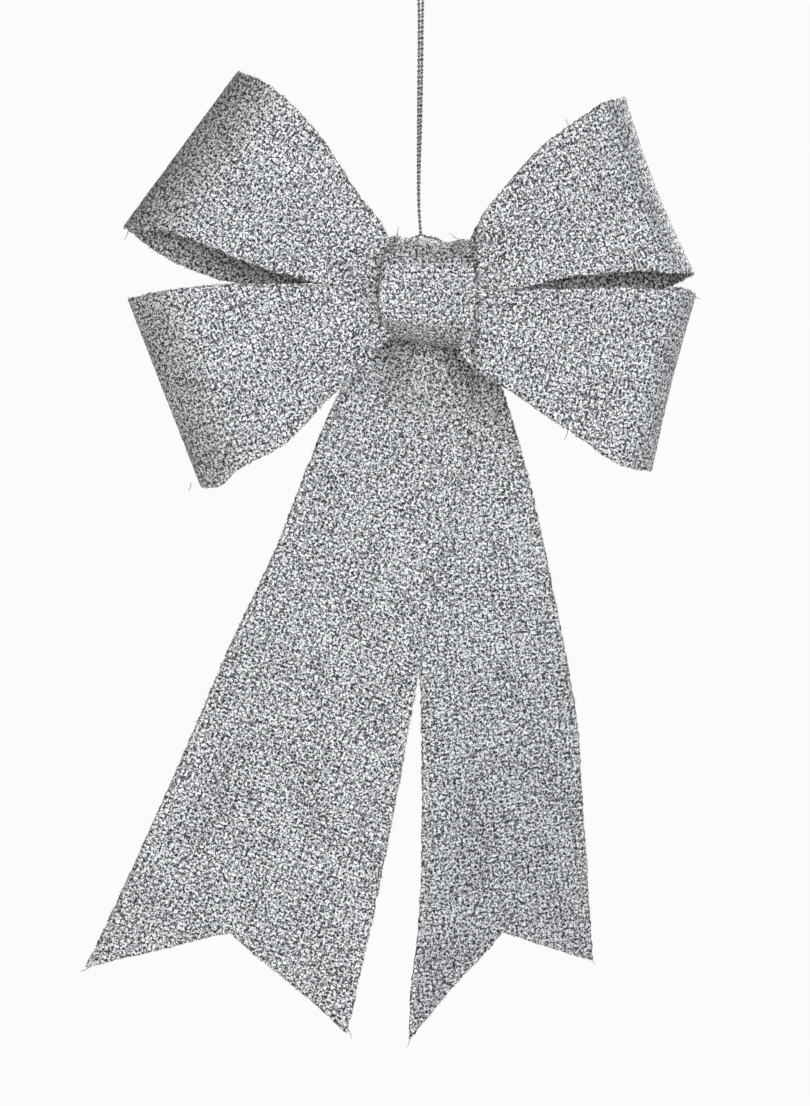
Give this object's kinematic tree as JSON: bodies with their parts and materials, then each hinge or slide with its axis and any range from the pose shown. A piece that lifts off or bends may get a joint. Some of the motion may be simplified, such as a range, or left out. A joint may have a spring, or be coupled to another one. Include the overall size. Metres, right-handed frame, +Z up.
{
  "type": "gift bow",
  "caption": "Pre-made bow of stiff glitter knit ribbon with folded loops, a wrapped knot and swallow-tailed ends, on a thin hanging cord.",
  "frame": {"origin": "hanging point: where the top bend of the cord rests on its hook", "axes": "+Z up along the cord, front of the bow towards -Y, +X to the right seen from the front"},
  "size_m": [0.1584, 0.0515, 0.2866],
  "materials": {
    "glitter_knit": "silver tinsel knit, sparkling",
    "metallic_cord": "twisted metallic yarn",
    "binding_thread": "polyester thread, slight sheen",
    "hot_glue": "cloudy hot-melt glue"
  },
  "bodies": {
    "cord": {"hanging_cord": "metallic_cord"},
    "knot": {"knot_band": "glitter_knit", "gathering_thread": "binding_thread", "band_glue": "hot_glue", "tail_glue": "hot_glue", "cord_ends": "metallic_cord", "cord_knot": "metallic_cord"},
    "upper_left": {"upper_left_loop": "glitter_knit"},
    "upper_right": {"upper_right_loop": "glitter_knit"},
    "lower_left": {"lower_left_loop": "glitter_knit"},
    "lower_right": {"lower_right_loop": "glitter_knit"},
    "front_tail": {"left_tail": "glitter_knit"},
    "back_tail": {"right_tail": "glitter_knit"}
  },
  "joints": [
    {"name": "bow_spin", "type": "hinge", "parent": "cord", "child": "knot", "pos_m": [0, 0, -0.075], "axis": [0, 0, 1], "continuous": true},
    {"name": "upper_left_flex", "type": "hinge", "parent": "knot", "child": "upper_left", "pos_m": [-0.0014, 0, -0.092], "axis": [0, 0, 1], "range_deg": [-15, 25], "stiffness_Nm_per_rad": 0.002},
    {"name": "upper_right_flex", "type": "hinge", "parent": "knot", "child": "upper_right", "pos_m": [0.0066, 0, -0.092], "axis": [0, 0, -1], "range_deg": [-15, 25], "stiffness_Nm_per_rad": 0.002},
    {"name": "lower_left_flex", "type": "hinge", "parent": "knot", "child": "lower_left", "pos_m": [-0.0014, 0, -0.092], "axis": [0, 0, 1], "range_deg": [0, 25], "stiffness_Nm_per_rad": 0.002},
    {"name": "lower_right_flex", "type": "hinge", "parent": "knot", "child": "lower_right", "pos_m": [0.0066, 0, -0.092], "axis": [0, 0, -1], "range_deg": [0, 25], "stiffness_Nm_per_rad": 0.002},
    {"name": "left_tail_spread", "type": "hinge", "parent": "knot", "child": "front_tail", "pos_m": [0.0026, 0.0107, -0.092], "axis": [0, 1, 0], "range_deg": [-6, 10], "stiffness_Nm_per_rad": 0.05},
    {"name": "right_tail_spread", "type": "hinge", "parent": "knot", "child": "back_tail", "pos_m": [0.0026, 0.0118, -0.092], "axis": [0, -1, 0], "range_deg": [-6, 10], "stiffness_Nm_per_rad": 0.05}
  ]
}
